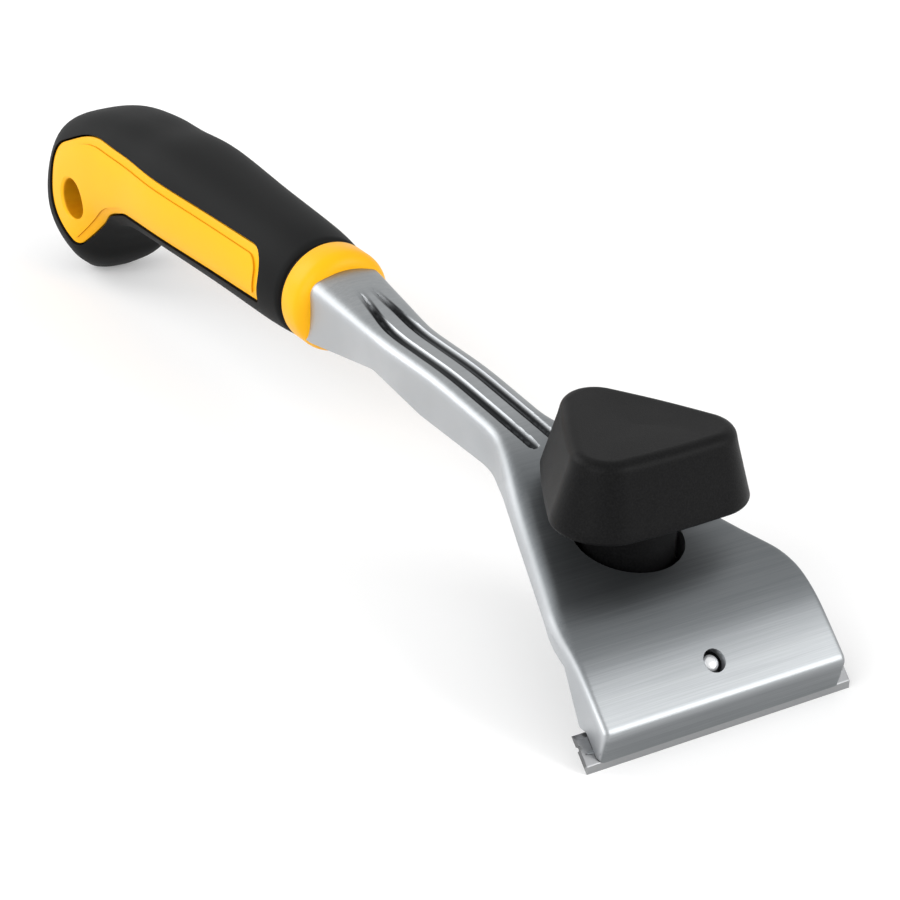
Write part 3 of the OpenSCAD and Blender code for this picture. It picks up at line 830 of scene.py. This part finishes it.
core = new_piece("border", handle_form(0.5), yellow.material)
core.data.materials.append(step_wall_shade.material)
cut(core, new_piece("border_tool", panel_block(0), yellow.material), "INTERSECT")
field = new_piece("field", handle_form(0.02), yellow.material)
cut(field, new_piece("field_tool", panel_block(-1.7), yellow.material), "INTERSECT")
field.data.materials.append(step_wall_shade.material)
# The step's walls, the faces that stand across the panel, take the painted shade.
for face in field.data.polygons:
    face.material_index = 1 if abs(face.normal.y) < 0.15 else 0
collar_rows = [(0.01, 0)]
for turn in range(0, 91, 10):
    angle = math.radians(turn)
    collar_rows.append((COLLAR_R - COLLAR_ROUND + COLLAR_ROUND * math.sin(angle),
                        COLLAR_ROUND * math.cos(angle) - COLLAR_ROUND))
collar_rows += [(COLLAR_R, -8.2), (COLLAR_R - 0.15, -8.55), (COLLAR_R - 0.5, -8.7), (10.4, -8.7), (10.4, -11),
                (0.01, -11)]
collar = turned(collar_rows, 96)
bmesh.ops.rotate(collar, cent=(0, 0, 0), matrix=Matrix.Rotation(math.pi / 2, 3, "Y"), verts=collar.verts)
bmesh.ops.translate(collar, vec=(COLLAR_X, 0, GRIP_Z), verts=collar.verts)
collar_piece = new_piece("collar", collar, yellow.material)
cut(core, hole_tool("hole_tool_a"))
cut(field, hole_tool("hole_tool_b"))
bm = bmesh.new()
for part in (core, field, collar_piece):
    bm.from_mesh(part.data)
bm.to_mesh(core.data)
bm.free()
bpy.data.objects.remove(field)
bpy.data.objects.remove(collar_piece)
core.name = "core_moulding"
crease(core, 30)
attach(core, "frame")
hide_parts("handle_core")


# The grip: soft black plastic moulded over the core, matt to the touch. It swells towards the rear, bends down
# into the hooked end and leaves the yellow panels bare, with a fine seam round each.
rubber = Finish("soft_black", Specular_IOR_Level=0.07)
skin = rubber.noise(3200.0, (1, 1, 1), 3.0, 0.6)
wipe = rubber.noise(26.0, (1, 1, 1), 3.0)
rubber.feed(Base_Color=rubber.mix(wipe, (0.006, 0.0063, 0.0065, 1), (0.012, 0.0123, 0.0125, 1)),
            Roughness=0.50 + wipe * 0.1 + skin * 0.06, Normal=rubber.bump(skin, 0.00005, 0.4))
grip = new_piece("grip_moulding", handle_form(0), rubber.material)
cut(grip, new_piece("seam_tool", panel_block(0.55), rubber.material))
lip = turned([(11.5, -11), (11.5, -8.72), (10.45, -8.72), (10.45, -11), (11.5, -11)], 96)
bmesh.ops.rotate(lip, cent=(0, 0, 0), matrix=Matrix.Rotation(math.pi / 2, 3, "Y"), verts=lip.verts)
bmesh.ops.translate(lip, vec=(COLLAR_X, 0, GRIP_Z), verts=lip.verts)
lip_piece = new_piece("lip", lip, rubber.material)
bm = bmesh.new()
bm.from_mesh(grip.data)
bm.from_mesh(lip_piece.data)
bm.to_mesh(grip.data)
bm.free()
bpy.data.objects.remove(lip_piece)
crease(grip, 35)
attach(grip, "frame")
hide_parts("handle_grip")

bpy.context.scene.view_settings.view_transform = "Standard"
